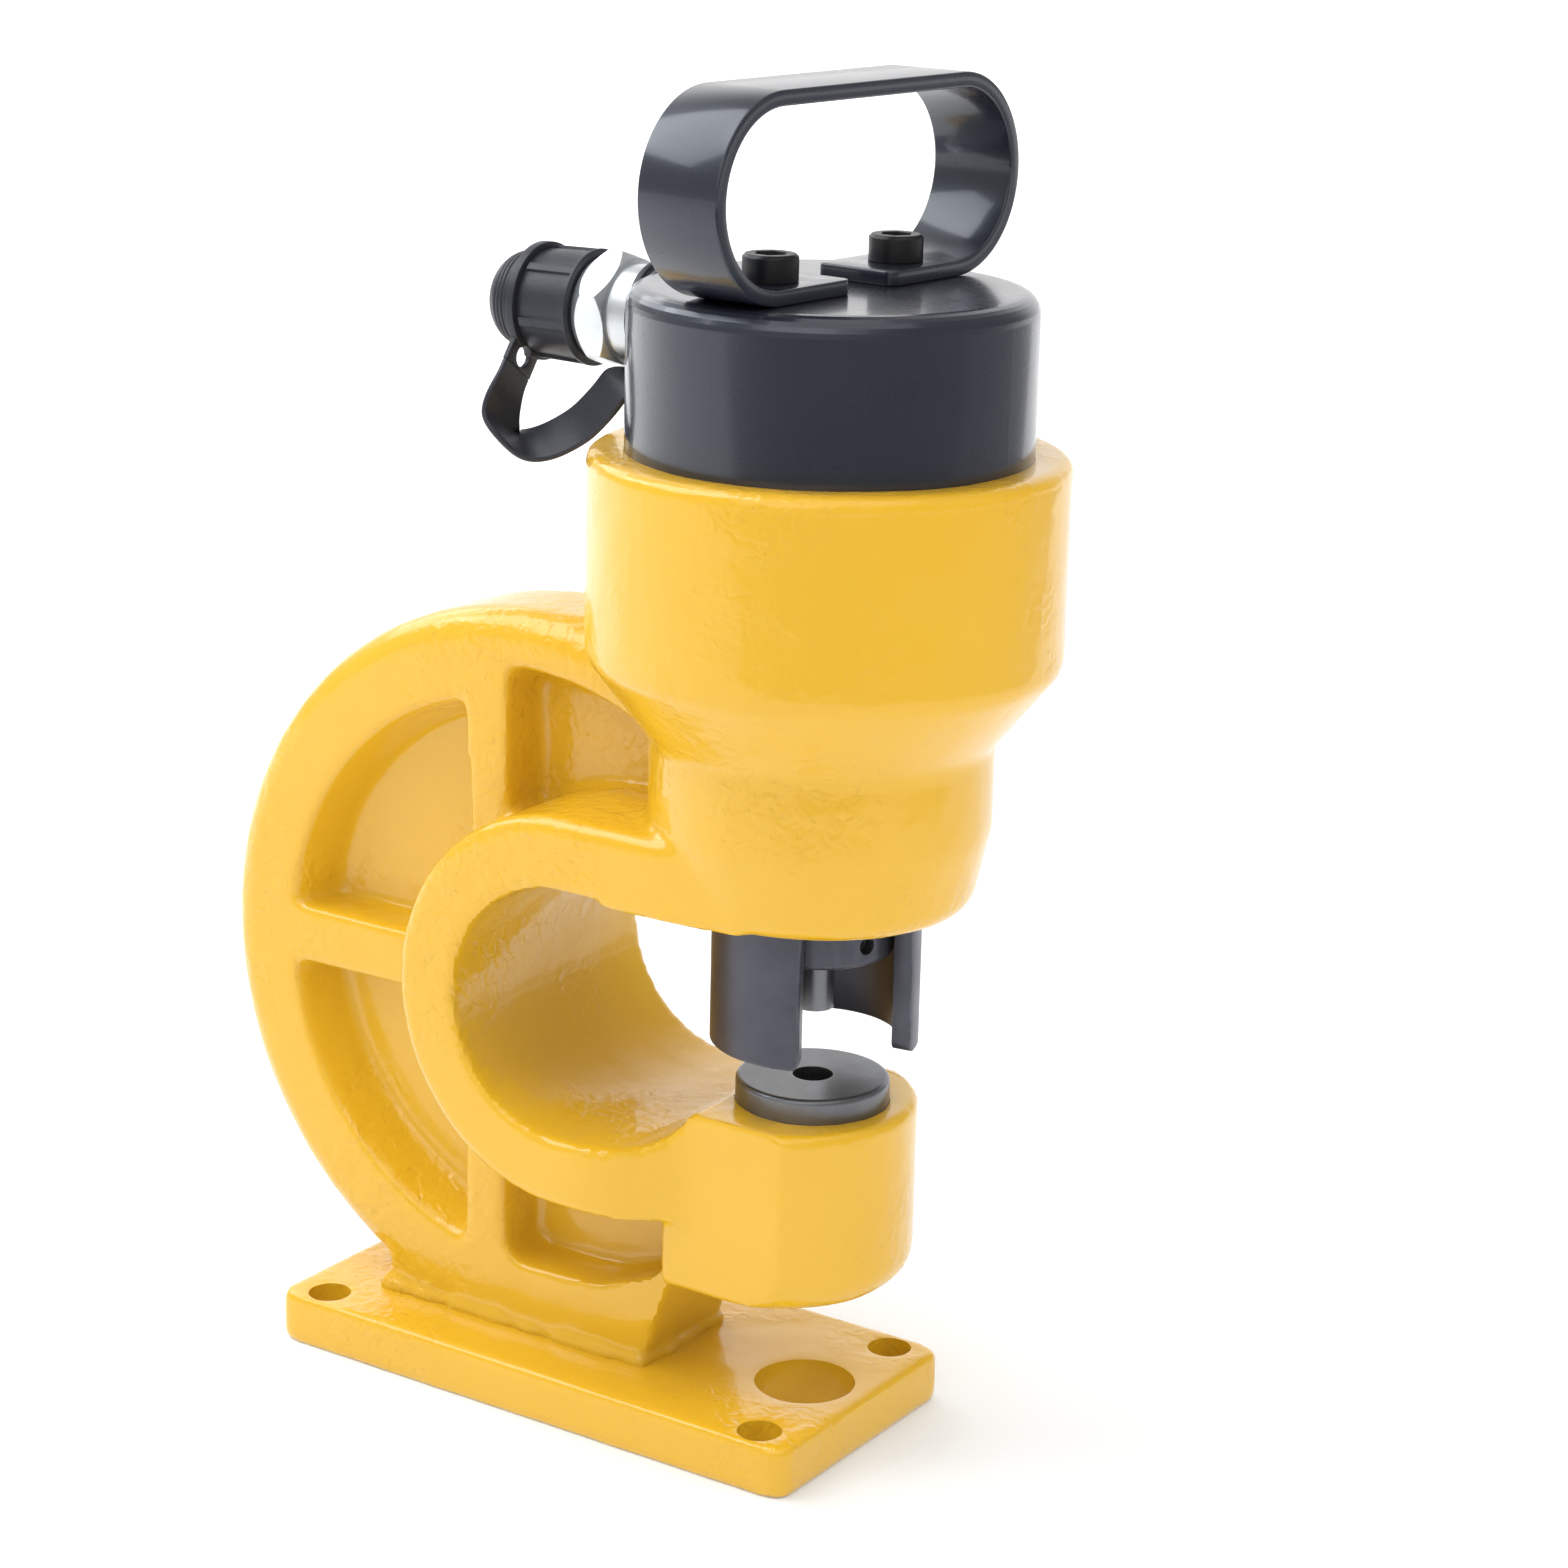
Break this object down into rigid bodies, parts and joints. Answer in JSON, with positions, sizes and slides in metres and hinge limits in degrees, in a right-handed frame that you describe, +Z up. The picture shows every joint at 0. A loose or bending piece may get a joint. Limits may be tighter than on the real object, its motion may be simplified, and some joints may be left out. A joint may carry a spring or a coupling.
{
  "type": "hydraulic hole punch",
  "caption": "Hydraulic hole punch: cast C frame on a base plate, ram cylinder with carrying handle and capped hose coupler, punch, die and windowed stripper tube.",
  "frame": {"origin": "on the punch axis, at the underside of the base plate, which is the centre of the slug hole's lower mouth", "axes": "+X out of the throat, towards the operator; +Y to the side with the set screws; +Z up along the punch axis"},
  "size_m": [0.268, 0.1354, 0.3906],
  "materials": {
    "yellow_paint": "glossy enamel over rough cast iron",
    "black_paint": "glossy blue-black",
    "black_oxide": "satin black oxide",
    "slate_steel": "satin slate-grey oxide",
    "tool_steel": "ground, darkened tool steel",
    "ground_steel": "ground and hard-plated",
    "spring_steel": "oiled",
    "bronze": "turned",
    "seal_rubber": "smooth",
    "white_polymer": "smooth",
    "brown_polymer": "woven, resin-bound",
    "bright_zinc": "bright zinc plate",
    "black_plastic": "moulded, faint sheen"
  },
  "bodies": {
    "frame": {"frame": "yellow_paint", "base_plate": "yellow_paint", "base_screws": "black_oxide", "cylinder_barrel": "black_paint", "barrel_lock_screw": "black_oxide", "return_spring": "spring_steel", "guide_bush": "bronze", "rod_wiper": "seal_rubber", "stripper": "slate_steel", "die_set_screw": "black_oxide", "handle": "black_paint", "handle_screws": "black_oxide", "coupler_body": "bright_zinc", "coupler_washer": "bright_zinc", "valve_spring": "spring_steel", "valve_seat_ring": "bright_zinc", "cap_tether": "black_plastic"},
    "ram": {"ram": "ground_steel", "piston_seal": "seal_rubber", "backup_ring": "white_polymer", "wear_ring": "brown_polymer", "punch_nut": "slate_steel", "punch": "slate_steel"},
    "die": {"die": "tool_steel"},
    "coupler_valve": {"coupler_valve": "bronze"},
    "dust_cap": {"dust_cap": "black_plastic", "cap_eye": "black_plastic"}
  },
  "joints": [
    {"name": "ram_stroke", "type": "slide", "parent": "frame", "child": "ram", "axis": [0, 0, -1], "range_m": [0, 0.025], "stiffness_N_per_m": 9300, "springref_m": -0.012, "deforming": ["return_spring"]},
    {"name": "die_lift", "type": "slide", "parent": "frame", "child": "die", "axis": [0, 0, 1], "range_m": [0, 0.0098]},
    {"name": "valve_push", "type": "slide", "parent": "frame", "child": "coupler_valve", "axis": [1, 0, 0], "range_m": [0, 0.003], "stiffness_N_per_m": 1500, "springref_m": -0.002, "deforming": ["valve_spring"]},
    {"name": "dust_cap_pull", "type": "slide", "parent": "frame", "child": "dust_cap", "axis": [-1, 0, 0], "range_m": [0, 0.028], "deforming": ["cap_tether"]}
  ]
}
